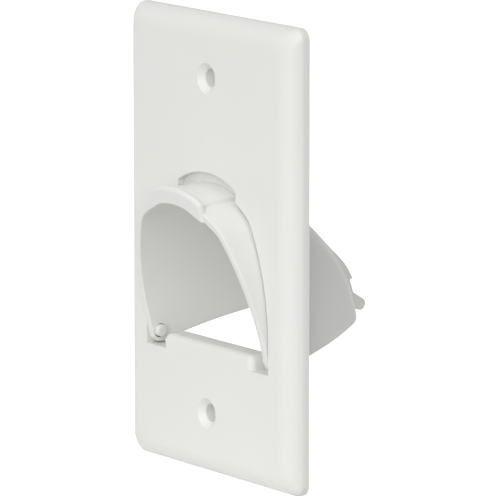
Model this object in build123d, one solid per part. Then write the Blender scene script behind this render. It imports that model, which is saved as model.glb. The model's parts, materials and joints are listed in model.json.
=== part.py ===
import math
import os

from build123d import *

# Bulk cable wall plate: a moulded single-gang plate with an arched opening,
# and a scoop-shaped hood that turns on two pegs inside that opening.
# Millimetres. X is to the right, Y runs into the wall and Z is up.
# The plate's back plane is Y = 0, and its centre is the origin.

# Plate
plate_width = 69.85
plate_height = 114.3
plate_depth = 5.6
edge_height = 1.6           # straight outer edge behind the bevel
bevel_width = 5.5           # rounded bevel, seen from the front
bevel_steps = 6
corner_radius = 3.0         # of the outline
face_corner_radius = 4.5    # of the flat front face
front_skin = 2.2
rim_wall = 2.4
pocket_round = 1.2
rib_thickness = 1.2
rib_setback = 0.8           # ribs stop short of the wall
rib_gap = 7.0               # from the opening's collar to each rib

# Screw holes
screw_spacing = 83.3
screw_hole_diameter = 4.6
countersink_diameter = 7.6
countersink_depth = 1.5
boss_diameter = 10.5

# Hinge line of the hood, from the plate's centre and back plane
pivot_height = -24.6
pivot_depth = 3.3
peg_radius = 1.4
peg_clearance = 0.08
peg_reach = 1.4             # peg end beyond the ear's inner face
peg_round = 0.5

# Hood, turned about an axis in its front rim
hood_half_width = 25.4
hood_wall = 2.0
side_radius = 56.0          # arcs of the flanks
crown_excess = 1.6          # arc over the top, in radius over the half width
crown_height = 12.7         # centre of that arc
arch_round = 9.0            # between the flanks and the crown
rim_offset = 2.1            # front rim ahead of the hinge line
lower_offset = 3.1          # lower edge under the hinge line
ear_flat = 4.8              # flat of each ear, round the turned axis
ear_round = 2.6
edge_round = 0.4            # front rim
open_angle = 15.3           # as shown, from the closed hood

# Raised band down the middle of the hood
band_half_width = 10.0
band_rise = 1.2
shoulder_round = 0.5        # edges of the band
root_round = 0.6            # its feet

# Pull tab at the front of the band
tab_overhang = 1.6          # each side of the band
tab_radius = 24.4           # arc of its crest
tab_rise = 1.6              # over the band
tab_thickness = 2.0
tab_lead = 0.5              # tab face ahead of the rim
tab_end_round = 1.6
tab_land = 0.2              # flat left between the rounds of its crest

# Ridges near the edges of the band, rising to the rear
ridge_inset = 0.8           # from the edge of the band
ridge_width = 2.0
ridge_start = 69.0          # degrees round from the top
ridge_end = 84.0
ridge_height = 1.1

# Stop hook at the rear of the band
hook_inset = 2.0            # each side of the band
hook_thickness = 3.0
hook_length = 5.9
hook_slope = 48.4           # down from level, with the hood closed
hook_rise = 0.9             # root above the hinge line's level
hook_round = 1.3

# Opening in the plate
hood_gap = 0.3              # round the hood
sill_height = 0.4           # sill above the hinge line
sill_round = 1.8            # front edge
notch_half_width = 18.7     # half the sill between the two ear notches
notch_round = 2.2
collar_wall = 1.8
collar_setback = 1.5        # arch collar stops short of the wall

# Recess for the pull tab
recess_depth = 1.9
recess_gap = 0.45           # round the tab
recess_corner = 1.0
recess_edge_round = 0.3
tongue_thickness = 1.7      # of the recess floor

# Sizes that follow
bevel_height = plate_depth - edge_height
bevel_radius = (bevel_width**2 + bevel_height**2) / (2 * bevel_height)
bevel_turn = math.asin(bevel_width / bevel_radius)
crown_radius = hood_half_width + crown_excess
band_radius = crown_radius + band_rise
tab_half_width = band_half_width + tab_overhang
tab_height = crown_height + band_radius + tab_rise - tab_radius
tab_face = rim_offset + tab_lead
tab_round = (tab_thickness - tab_land) / 2
ridge_outer = band_half_width - ridge_inset
hook_half_width = band_half_width - hook_inset
recess_radius = tab_radius + recess_gap
recess_half_width = tab_half_width + recess_gap
recess_crest = tab_height + recess_radius
opening_half_width = hood_half_width + hood_gap
reach = 2 * recess_crest    # longer than anything it trims
bore_radius = peg_radius + peg_clearance
seam_angle = -135           # of turned pieces, ahead of the hood and below it

front = Plane(origin=(0, 0, 0), x_dir=(1, 0, 0), z_dir=(0, -1, 0))
side = Plane.YZ
hinge = Pos(0, -pivot_depth, pivot_height)
hinge_on_front = Pos(0, pivot_height)


def upright(low, high, half_width=reach):
    """A strip of the front view between two heights."""
    return Pos(0, (low + high) / 2) * Rectangle(2 * half_width, high - low)


def slab(sketch, back, ahead):
    """A front-view sketch made solid between two distances from the wall."""
    return extrude(front.offset(back) * sketch, ahead - back)


def both_sides(x):
    return (-x, x)


def flanks(grow):
    """Section of the hood's flanks: crown arc, side arcs and flat ears, grown by a gap."""
    face = Pos(0, crown_height) * Circle(crown_radius + grow) + upright(0, crown_height)
    for x in both_sides(side_radius - hood_half_width):
        face &= Pos(x, ear_flat) * Circle(side_radius + grow)
    face &= upright(ear_flat, reach)
    face = fillet(face.vertices().group_by(Axis.Y)[-1], arch_round + grow)
    return face + upright(0, ear_flat, hood_half_width + grow)


def section(grow=0.0):
    """Section of the hood with its raised band, grown by a gap or shrunk by a wall."""
    half_width = band_half_width + grow
    band = Pos(0, crown_height) * Circle(band_radius + grow)
    face = flanks(grow) + (band & upright(crown_height, reach, half_width))
    feet = face.vertices().filter_by(lambda v: abs(v.X) < half_width + root_round)
    face = fillet(feet.group_by(Axis.Y)[0], root_round)
    return fillet(face.vertices().group_by(Axis.Y)[-1], shoulder_round)


def band_height(x):
    """Height of the band's surface over the axis that it is turned about."""
    return crown_height + math.sqrt(band_radius**2 - x**2)


# Plate


def plate_blank():
    outline = RectangleRounded(plate_width, plate_height, corner_radius)
    edge = slab(outline, 0, edge_height)
    levels = []
    for step in range(bevel_steps + 1):
        turn = bevel_turn * (1 - step / bevel_steps)
        inset = bevel_width - bevel_radius * math.sin(turn)
        height = plate_depth - bevel_radius * (1 - math.cos(turn))
        share = inset / bevel_width
        radius = corner_radius + share * (face_corner_radius - corner_radius)
        level = RectangleRounded(plate_width - 2 * inset, plate_height - 2 * inset, radius)
        levels.append(front.offset(height) * level)
    return edge + loft(levels)


def opening(grow=0.0):
    """Front view of the arched opening, or of that outline grown by a wall."""
    arch = section(hood_gap + grow)
    floor = -(lower_offset + hood_gap + grow)
    notches = upright(floor, 0, opening_half_width + grow)
    sill = upright(floor - 1, sill_height - grow, notch_half_width - grow)
    sill = fillet(sill.vertices().group_by(Axis.Y)[-1], notch_round)
    return hinge_on_front * (arch + notches - sill)


def recess(grow=0.0):
    """Front view of the recess that the pull tab drops into."""
    pocket = Pos(0, tab_height) * Circle(recess_radius + grow)
    pocket &= upright(tab_height, reach, recess_half_width + grow)
    corners = pocket.vertices().group_by(Axis.Y)[-1]
    return hinge_on_front * fillet(corners, recess_corner + grow)


def plate_back():
    """The hollow that is taken out behind the front skin."""
    width = plate_width - 2 * rim_wall
    height = plate_height - 2 * rim_wall
    pocket = slab(RectangleRounded(width, height, corner_radius), 0, plate_depth - front_skin)
    floor = pocket.faces().sort_by(Axis.Y)[0]
    return fillet(floor.edges(), pocket_round)


def ribs():
    """Two cross ribs, above and below the opening's collar."""
    top = pivot_height + recess_crest + collar_wall + rib_gap
    bottom = pivot_height - lower_offset - hood_gap - collar_wall - rib_gap
    strips = Sketch()
    for height in (top, bottom):
        strips += Pos(0, height) * Rectangle(plate_width, rib_thickness)
    return slab(strips, rib_setback, plate_depth) & plate_back()


def pegs():
    """Hinge pegs on the opening's side walls, pointing inwards."""
    ear = hood_half_width - hood_wall
    length = opening_half_width + collar_wall / 2 - (ear - peg_reach)
    peg = Cylinder(peg_radius, length, align=(Align.CENTER, Align.CENTER, Align.MIN))
    peg = fillet(peg.edges().group_by(Axis.Z)[-1], peg_round)
    start = opening_half_width + collar_wall / 2
    right = Pos(start, 0, 0) * Rot(0, -90, 0) * peg
    left = Pos(-start, 0, 0) * Rot(0, 90, 0) * peg
    return [hinge * right, hinge * left]


def screw_cuts():
    """Countersunk screw holes."""
    spots = [Pos(0, z) for z in both_sides(screw_spacing / 2)]
    holes = Sketch() + [spot * Circle(screw_hole_diameter / 2) for spot in spots]
    cuts = [slab(holes, -1, plate_depth + 1)]
    for spot in spots:
        mouth = front.offset(plate_depth) * spot * Circle(countersink_diameter / 2)
        throat_plane = front.offset(plate_depth - countersink_depth)
        throat = throat_plane * spot * Circle(screw_hole_diameter / 2)
        cuts.append(loft([throat, mouth]))
    return cuts


def front_edges(shell, height, span):
    """Edges of the front face, between the notches and near a height."""
    edges = shell.edges().group_by(Axis.Y)[0]
    edges = edges.filter_by(lambda e: abs(e.center().X) < notch_half_width + hood_gap)
    return edges.filter_by(lambda e: abs(e.center().Z - height) < span)


def rounded_mouth(shell):
    """The sill and the recess with their front edges rounded."""
    crest = pivot_height + recess_crest
    shell = fillet(front_edges(shell, pivot_height, lower_offset), sill_round)
    return fillet(front_edges(shell, crest, recess_depth), recess_edge_round)


def wall_plate():
    blank = plate_blank()
    skin_back = plate_depth - front_skin
    shell = blank - plate_back()
    bosses = Sketch()
    for z in both_sides(screw_spacing / 2):
        bosses += Pos(0, z) * Circle(boss_diameter / 2)
    shell += slab(bosses, 0, skin_back + front_skin / 2)
    shell += ribs()

    way = opening()
    collar = opening(collar_wall)
    split = pivot_height + lower_offset
    low_collar = collar & upright(-plate_height, split)
    high_collar = collar & upright(split, plate_height)
    shell += slab(low_collar, 0, skin_back + front_skin / 2)
    shell += slab(high_collar, collar_setback, skin_back + front_skin / 2)

    recess_floor = plate_depth - recess_depth
    recess_back = recess_floor - tongue_thickness
    behind_recess = recess(collar_wall)
    shell -= slab(upright(split, plate_height, recess_half_width) & collar, 0, recess_back)
    shell += slab(behind_recess, recess_back, plate_depth - front_skin / 2)
    shell -= slab(way, -1, plate_depth + 1)
    shell -= slab(recess(), recess_floor, plate_depth + 1)
    shell = rounded_mouth(shell)
    for peg in pegs():
        shell += peg
    for cut in screw_cuts():
        shell -= cut
    return shell


# Hood, drawn closed about its hinge line, which is the X axis here


def turned(profile):
    """A section turned about an axis in the rim, with its seam ahead of the hood."""
    return Pos(0, -rim_offset, 0) * revolve(profile, Axis.X).rotate(Axis.X, seam_angle)


def around(angle, radius):
    """A point of the side view, by its angle from the top and its radius."""
    turn = math.radians(angle)
    return (radius * math.sin(turn) - rim_offset, radius * math.cos(turn))


def hood_wedge():
    """The quarter turn that the hood spans, with its ears rounded."""
    height = reach + lower_offset
    depth = reach + rim_offset
    block = Pos(reach - depth / 2, reach - height / 2) * Rectangle(depth, height)
    corner = block.vertices().sort_by(lambda v: v.X + v.Y)[0]
    return extrude(side * fillet(corner, ear_round), reach, both=True)


def pull_tab():
    """A lip over the front of the band, wider and taller than the band."""
    face = Pos(0, tab_height) * Circle(tab_radius)
    face &= upright(tab_height, reach, tab_half_width)
    face = fillet(face.vertices().group_by(Axis.Y)[-1], tab_end_round)
    tab = extrude(front.offset(tab_face - tab_thickness) * face, tab_thickness)
    crest = tab.faces().filter_by(lambda f: f.normal_at().Z > 0.1).edges()
    crest = crest.filter_by(lambda e: e.bounding_box().size.Y < tab_thickness / 2)
    return fillet(crest, tab_round)


def ridges():
    floor = Pos(0, crown_height) * Circle(band_radius) & upright(crown_height, reach)
    strips = Sketch()
    for x in both_sides(ridge_outer - ridge_width / 2):
        strips += Pos(x, reach / 2) * Rectangle(ridge_width, reach)
    radius = band_height(ridge_outer - ridge_width)
    run = radius * math.radians(ridge_end - ridge_start)
    hub = Axis((0, *around(ridge_start, radius)), (1, 0, 0))
    bands = turned(floor & strips).rotate(hub, math.degrees(math.asin(ridge_height / run)))
    sector = Polygon(
        around(0, 0), around(ridge_start, reach), around(ridge_end, reach), align=None
    )
    return bands & extrude(side * sector, reach, both=True)


def stop_hook():
    bar = Rectangle(3 * hook_length, hook_thickness, align=(Align.MAX, Align.MAX))
    bar = fillet(bar.vertices().group_by(Axis.X)[-1], hook_round)
    root = Pos(band_height(hook_half_width) - rim_offset, hook_rise)
    placed = root * Rot(0, 0, -hook_slope) * Pos(hook_length, 0) * bar
    return extrude(side * placed, hook_half_width, both=True)


def rounded_rim(shell):
    """The front rim's long edges rounded, and what runs on from them."""
    rim = shell.edges().group_by(Axis.Y)[0]
    return fillet(rim.filter_by(lambda e: e.length > 2 * hood_wall), edge_round)


def hood():
    outer = turned(section())
    inner = turned(section(-hood_wall))
    wedge = hood_wedge()
    shell = rounded_rim((outer - inner) & wedge)
    shell += (ridges() - inner) & wedge
    shell += stop_hook() - inner
    shell += pull_tab() - inner
    shell -= Rot(0, 90, 0) * Cylinder(bore_radius, reach)
    return hinge * shell.rotate(Axis.X, open_angle)


os.makedirs("parts", exist_ok=True)
export_step(wall_plate(), "parts/wall_plate.step")
export_step(hood(), "parts/hood.step")
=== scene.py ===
import json
import math

import bpy
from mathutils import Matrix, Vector


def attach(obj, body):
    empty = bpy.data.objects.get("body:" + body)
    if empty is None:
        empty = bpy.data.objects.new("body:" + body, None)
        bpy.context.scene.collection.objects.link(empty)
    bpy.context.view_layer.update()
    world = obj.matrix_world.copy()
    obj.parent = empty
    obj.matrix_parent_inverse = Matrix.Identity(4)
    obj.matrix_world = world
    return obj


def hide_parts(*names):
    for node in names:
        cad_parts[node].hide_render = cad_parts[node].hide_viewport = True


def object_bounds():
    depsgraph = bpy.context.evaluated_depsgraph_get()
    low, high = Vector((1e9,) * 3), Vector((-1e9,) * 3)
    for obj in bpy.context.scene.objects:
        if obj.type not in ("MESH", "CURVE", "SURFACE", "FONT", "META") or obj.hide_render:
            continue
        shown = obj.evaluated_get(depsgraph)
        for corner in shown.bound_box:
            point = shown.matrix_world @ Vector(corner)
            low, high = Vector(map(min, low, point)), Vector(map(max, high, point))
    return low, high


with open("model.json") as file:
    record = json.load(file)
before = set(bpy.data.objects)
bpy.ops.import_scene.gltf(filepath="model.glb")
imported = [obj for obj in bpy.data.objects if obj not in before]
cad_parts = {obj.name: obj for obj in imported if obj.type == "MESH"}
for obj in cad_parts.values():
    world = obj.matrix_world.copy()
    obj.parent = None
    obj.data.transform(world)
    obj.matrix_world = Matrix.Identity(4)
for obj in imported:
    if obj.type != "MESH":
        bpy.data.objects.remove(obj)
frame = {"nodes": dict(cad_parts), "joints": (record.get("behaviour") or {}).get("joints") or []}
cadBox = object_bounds()
plate = frame["nodes"]["wall_plate"]
hood = frame["nodes"]["hood"]
hoodHinge = frame["joints"][0]
print("frame loaded:", sorted(frame["nodes"]))


# one wrapped socket: sums and products of values add Math nodes, node() adds any other
class Wire:
    def __init__(self, tree, socket=None):
        self.tree = tree
        self.socket = socket

    def node(self, kind, settings, inputs, output=0):
        made = self.tree.nodes.new(kind)
        for name, value in settings.items():
            setattr(made, name, value)
        for name, value in inputs.items():
            if isinstance(value, Wire):
                self.tree.links.new(value.socket, made.inputs[name])
            else:
                made.inputs[name].default_value = value
        return Wire(self.tree, made.outputs[output]) if made.outputs else None

    def calc(self, operation, first, second):
        return self.node("ShaderNodeMath", {"operation": operation}, {0: first, 1: second})

    def __add__(self, other):
        return self.calc("ADD", self, other)

    def __sub__(self, other):
        return self.calc("SUBTRACT", self, other)

    def __rsub__(self, other):
        return self.calc("SUBTRACT", other, self)

    def __mul__(self, other):
        return self.calc("MULTIPLY", self, other)

    __radd__ = __add__
    __rmul__ = __mul__


def freshTree(owner):
    owner.use_nodes = True
    owner.node_tree.nodes.clear()
    return Wire(owner.node_tree)


# satin white moulded plastic, one look for each moulding
plateFinish = {
    "name": "plateSatinWhite",
    "colour": (0.82, 0.82, 0.80, 1),
    "flowColour": (0.80, 0.80, 0.775, 1),
    "flowScale": 22,            # slow drift of the melt, per metre
    "flowDetail": 2.0,
    "roughness": 0.40,
    "roughnessSpread": 0.08,
    "grainScale": 2600,         # fine texture of the tool, per metre
    "grainDetail": 3.0,
    "grainMiddle": 0.5,         # the noise's own middle
    "grainHeight": 0.000008,
    "reflection": 0.5,
}
hoodFinish = {**plateFinish, "name": "hoodSatinWhite", "roughness": 0.38}


def noise(wire, place, scale, detail):
    return wire.node(
        "ShaderNodeTexNoise", {}, {"Vector": place, "Scale": scale, "Detail": detail}
    )


def mouldedPlastic(finish):
    material = bpy.data.materials.new(finish["name"])
    wire = freshTree(material)
    place = wire.node("ShaderNodeTexCoord", {}, {}, "Object")
    flow = noise(wire, place, finish["flowScale"], finish["flowDetail"])
    grain = noise(wire, place, finish["grainScale"], finish["grainDetail"])
    colour = wire.node(  # colour sockets of the Mix node: 6 and 7 in, 2 out
        "ShaderNodeMix",
        {"data_type": "RGBA"},
        {0: flow, 6: finish["colour"], 7: finish["flowColour"]},
        2,
    )
    roughness = finish["roughness"] + (grain - finish["grainMiddle"]) * finish["roughnessSpread"]
    normal = wire.node(
        "ShaderNodeBump", {}, {"Height": grain, "Distance": finish["grainHeight"]}
    )
    shader = wire.node(
        "ShaderNodeBsdfPrincipled",
        {},
        {
            "Base Color": colour,
            "Roughness": roughness,
            "Specular IOR Level": finish["reflection"],
            "Normal": normal,
        },
    )
    wire.node("ShaderNodeOutputMaterial", {}, {"Surface": shader})
    return material


def dress(piece, finish):
    piece.data.materials.clear()
    piece.data.materials.append(mouldedPlastic(finish))


# both mouldings are trimmed on copies of their CAD meshes, in metres and about the pegs
hingeY, hingeZ = hoodHinge["pos_m"][1:]
openAngle = -math.radians(hoodHinge["range_deg"][0])   # from closed to rest
meshCare = {
    "seam": 0.000001,           # vertices this near are one
    "sliver": 0.00001,          # edges this short go after trimming
    "slack": 0.00005,           # allowed over an arc when its vertices are picked
    "sharp": math.radians(30),
}


def mergedCopy(node, name):
    piece = bpy.data.objects.new(name, node.data.copy())
    bpy.context.scene.collection.objects.link(piece)
    bpy.ops.object.select_all(action="DESELECT")
    piece.select_set(True)
    bpy.context.view_layer.objects.active = piece
    bpy.ops.mesh.customdata_custom_splitnormals_clear()
    bpy.ops.object.mode_set(mode="EDIT")
    bpy.ops.mesh.select_all(action="SELECT")
    bpy.ops.mesh.remove_doubles(threshold=meshCare["seam"])
    bpy.ops.object.mode_set(mode="OBJECT")
    return piece


def finishCopy(piece, node, body):
    bpy.ops.object.mode_set(mode="EDIT")
    bpy.ops.mesh.select_all(action="SELECT")
    bpy.ops.mesh.remove_doubles(threshold=meshCare["sliver"])
    bpy.ops.mesh.dissolve_degenerate(threshold=meshCare["sliver"])
    bpy.ops.object.mode_set(mode="OBJECT")
    bpy.ops.object.shade_smooth_by_angle(angle=meshCare["sharp"])
    bpy.ops.object.modifier_add(type="WEIGHTED_NORMAL")
    piece.modifiers[-1].keep_sharp = True
    bpy.ops.object.modifier_apply(modifier=piece.modifiers[-1].name)
    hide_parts(node)
    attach(piece, body)
    return piece


# the hood hangs on its pegs with some play, so a dark gap shows under each peg
pegFit = {
    "span": (0.0219, 0.02575),      # from the middle of the plate
    "moulded": 0.00140,
    "wanted": 0.00152,
    "shift": (0, 0),                # y and z
}
boreFit = {
    "span": (0.0233, 0.0255),
    "moulded": 0.00148,
    "wanted": 0.00174,
    "shift": (0.00013, -0.00009),   # back and down, clear of the rim's round
}


def refitRound(piece, fit):
    nearest, farthest = fit["span"]
    reach = fit["moulded"] + meshCare["sliver"]
    for vertex in piece.data.vertices:
        y, z = vertex.co.y - hingeY, vertex.co.z - hingeZ
        if nearest < abs(vertex.co.x) < farthest and math.hypot(y, z) < reach:
            vertex.co.y = hingeY + y * fit["wanted"] / fit["moulded"] + fit["shift"][0]
            vertex.co.z = hingeZ + z * fit["wanted"] / fit["moulded"] + fit["shift"][1]


# hood: behind the tab the band is a neck that keeps its gap to the plate, further back it is level
# with the crown, it rises again at the ridges, and the channel under it is shallow
scoop = {
    "rimAhead": 0.0021,             # turned axis ahead of the pegs
    "crownHeight": 0.0127,          # centre of the crown's arc over the pegs
    "crownRadius": 0.0270,
    "wall": 0.0020,
    "rimRound": 0.00045,
    "bandRise": 0.0012,             # over the crown, as moulded
    "bandHalf": 0.01045,
    "shoulderStart": 0.0070,
    "shoulderDrop": 0.05,           # share of the height lost at the band's sides
    "channelHalf": 0.00845,
    "channelRise": 0.00065,         # over the inner crown, at the middle
    "channelFall": 4,               # power of its fall to the sides
    "neckRadius": 0.0403,
    "tabBack": math.radians(2.05),  # these angles are about the turned axis, from the rim
    "neckEnd": (math.radians(26), math.radians(34)),
    "ridgeRise": (math.radians(62), math.radians(80)),
}


def arcOver(radius, x):
    return scoop["crownHeight"] + math.sqrt(radius * radius - x * x)


def ease(span, value):
    share = min(max((value - span[0]) / (span[1] - span[0]), 0), 1)
    return share * share * (3 - 2 * share)


def bandPlace(x, radius, angle):
    crown = arcOver(scoop["crownRadius"], x)
    crest = arcOver(scoop["crownRadius"], 0)
    moulded = arcOver(scoop["crownRadius"] + scoop["bandRise"] + meshCare["slack"], x)
    if radius <= crown or angle < scoop["tabBack"]:
        return radius
    if radius > moulded and angle < scoop["ridgeRise"][0]:
        return radius
    shoulder = scoop["bandHalf"] - scoop["shoulderStart"]
    side = max((abs(x) - scoop["shoulderStart"]) / shoulder, 0)
    lift = (scoop["neckRadius"] + scoop["rimAhead"] * math.sin(angle) - crest) / scoop["bandRise"]
    neck = (1 - ease(scoop["neckEnd"], angle)) * lift * (1 - scoop["shoulderDrop"] * side * side)
    return crown + (radius - crown) * (neck + ease(scoop["ridgeRise"], angle))


def channelPlace(x, radius):
    inner = scoop["crownRadius"] - scoop["wall"]
    crown = arcOver(inner, x)
    ceiling = arcOver(inner + scoop["bandRise"], x)
    if abs(x) > scoop["channelHalf"] or not crown <= radius <= ceiling + scoop["rimRound"]:
        return radius
    share = 1 - (x / scoop["channelHalf"]) ** scoop["channelFall"]
    return crown + scoop["channelRise"] * share + max(radius - ceiling, 0)


def trimmedHood(node):
    piece = mergedCopy(node, "scoopHood")
    refitRound(piece, boreFit)
    across, up = math.cos(openAngle), math.sin(openAngle)
    for vertex in piece.data.vertices:
        x, y, z = vertex.co.x, vertex.co.y - hingeY, vertex.co.z - hingeZ
        if abs(x) > scoop["bandHalf"]:
            continue
        depth = y * across + z * up + scoop["rimAhead"]   # the hood as if it were closed
        rise = z * across - y * up
        radius, angle = math.hypot(depth, rise), math.atan2(depth, rise)
        wanted = channelPlace(x, bandPlace(x, radius, angle))
        if wanted == radius:
            continue
        depth = wanted * math.sin(angle) - scoop["rimAhead"]
        rise = wanted * math.cos(angle)
        vertex.co.y = hingeY + depth * across - rise * up
        vertex.co.z = hingeZ + depth * up + rise * across
    return finishCopy(piece, "hood", "hood")


# plate: the front edge of the recess floor reaches down to the neck
recessFloor = {
    "hoodGap": 0.0003,          # between the opening and the hood, as moulded
    "half": 0.01095,
    "middle": -0.0030,          # y: the stop hook needs the room behind it
    "neckGap": 0.00009,
}


def trimmedPlate(node):
    piece = mergedCopy(node, "singleGangPlate")
    refitRound(piece, pegFit)
    opening = scoop["crownRadius"] + recessFloor["hoodGap"]
    moulded = opening + scoop["bandRise"] + meshCare["slack"]
    wanted = scoop["neckRadius"] + recessFloor["neckGap"] - arcOver(opening, 0)
    for vertex in piece.data.vertices:
        x, rise = vertex.co.x, vertex.co.z - hingeZ
        if abs(x) > recessFloor["half"] or vertex.co.y > recessFloor["middle"]:
            continue
        height = rise - arcOver(opening, x)
        if 0 < height and rise < arcOver(moulded, x):
            vertex.co.z -= height * (1 - wanted / scoop["bandRise"])
    return finishCopy(piece, "wall_plate", "plate")


scoopHood = trimmedHood(hood)
gangPlate = trimmedPlate(plate)
print("trimmed:", len(scoopHood.data.polygons), "and", len(gangPlate.data.polygons), "faces")

dress(gangPlate, plateFinish)
dress(scoopHood, hoodFinish)
print("plastic on both mouldings")


# white studio: floor under the plate's lower edge, bright to the camera and in reflections
white = (1, 1, 1, 1)
black = (0, 0, 0, 1)
floorLook = {"size": 6.0, "colour": (0.80, 0.80, 0.80, 1), "glow": 0.86}


def seenRay(wire):
    kinds = ("Is Camera Ray", "Is Glossy Ray", "Is Transmission Ray")
    camera, glossy, through = [wire.node("ShaderNodeLightPath", {}, {}, kind) for kind in kinds]
    return wire.node(
        "ShaderNodeMath", {"operation": "ADD", "use_clamp": True}, {0: camera + glossy, 1: through}
    )


def makeFloor(look):
    bpy.ops.object.select_all(action="DESELECT")
    bpy.ops.mesh.primitive_plane_add(size=look["size"], location=(0, 0, cadBox[0].z))
    floor = bpy.context.object
    floor.name = "studioFloor"
    bpy.ops.object.transform_apply(location=True, rotation=True, scale=True)
    material = bpy.data.materials.new("studioPaper")
    wire = freshTree(material)
    paper = wire.node("ShaderNodeBsdfDiffuse", {}, {"Color": look["colour"]})
    glow = wire.node("ShaderNodeEmission", {}, {"Color": white, "Strength": look["glow"]})
    dark = wire.node("ShaderNodeEmission", {}, {"Color": black, "Strength": 0.0})
    shown = wire.node("ShaderNodeMixShader", {}, {0: seenRay(wire), 1: dark, 2: glow})
    both = wire.node("ShaderNodeAddShader", {}, {0: paper, 1: shown})
    wire.node("ShaderNodeOutputMaterial", {}, {"Surface": both})
    floor.data.materials.append(material)


makeFloor(floorLook)
print("floor laid")


# soft light: a white room, paler ahead than behind, one large lamp ahead, to the right and above,
# one high up on the left and a weak one at the height of the plate's middle
roomLight = {
    "strength": 0.345,
    "lean": 0.19,               # how much paler the room is on its bright side
    "bright": (0.50, -0.83, 0.25),
}
keyLamp = {
    "place": (1.00, -1.22, 1.05),
    "aim": (0, 0, 0),
    "size": 1.3,
    "spread": 180,
    "power": 15.3,
}
topLamp = {
    "place": (-0.35, -0.55, 1.40),
    "aim": (0, 0, 0),
    "size": 0.5,
    "spread": 180,
    "power": 2.8,
}
lowLamp = {
    "place": (0.40, -0.75, 0.0),
    "aim": (0.02, 0, -0.12),
    "size": 0.3,
    "spread": 30,
    "power": 0.055,
}


def makeRoom(look):
    world = bpy.data.worlds.new("studioRoom")
    bpy.context.scene.world = world
    wire = freshTree(world)
    way = wire.node("ShaderNodeTexCoord", {}, {}, "Generated")
    facing = wire.node(
        "ShaderNodeVectorMath", {"operation": "DOT_PRODUCT"}, {0: way, 1: look["bright"]}, "Value"
    )
    strength = look["strength"] + facing * look["lean"]
    room = wire.node("ShaderNodeBackground", {}, {"Color": white, "Strength": strength})
    backdrop = wire.node("ShaderNodeBackground", {}, {"Color": white, "Strength": 1.0})
    shown = wire.node("ShaderNodeMixShader", {}, {0: seenRay(wire), 1: room, 2: backdrop})
    wire.node("ShaderNodeOutputWorld", {}, {"Surface": shown})


def makeLamp(name, look):
    bpy.ops.object.light_add(type="AREA", location=look["place"])
    lamp = bpy.context.object
    lamp.name = name
    lamp.data.energy = look["power"]
    lamp.data.size = look["size"]
    lamp.data.spread = math.radians(look["spread"])
    lamp.visible_camera = False
    towards = Vector(look["aim"]) - Vector(look["place"])
    lamp.rotation_mode = "QUATERNION"
    lamp.rotation_quaternion = towards.to_track_quat("-Z", "Y")


makeRoom(roomLight)
makeLamp("keyLamp", keyLamp)
makeLamp("topLamp", topLamp)
makeLamp("lowLamp", lowLamp)
print("studio lit")


# camera fitted to the plate's outline and screw holes
cameraLook = {
    "place": (1.030775, -0.736524, 0.224077),
    "azimuth": 54.174,
    "elevation": 10.089,
    "sensor": 36.0,
    "lens": 377.55,
    "farthest": 20,
}


def makeCamera(look):
    data = bpy.data.cameras.new("photoCamera")
    data.sensor_width = look["sensor"]
    data.lens = look["lens"]
    data.clip_end = look["farthest"]
    camera = bpy.data.objects.new("photoCamera", data)
    bpy.context.scene.collection.objects.link(camera)
    around = math.radians(look["azimuth"])
    above = math.radians(look["elevation"])
    level = math.cos(above)
    back = Vector((math.sin(around) * level, -math.cos(around) * level, math.sin(above)))
    camera.location = look["place"]
    camera.rotation_mode = "QUATERNION"
    camera.rotation_quaternion = (-back).to_track_quat("-Z", "Y")
    bpy.context.scene.camera = camera


makeCamera(cameraLook)
bpy.context.scene.view_settings.view_transform = "Standard"
print("camera set")
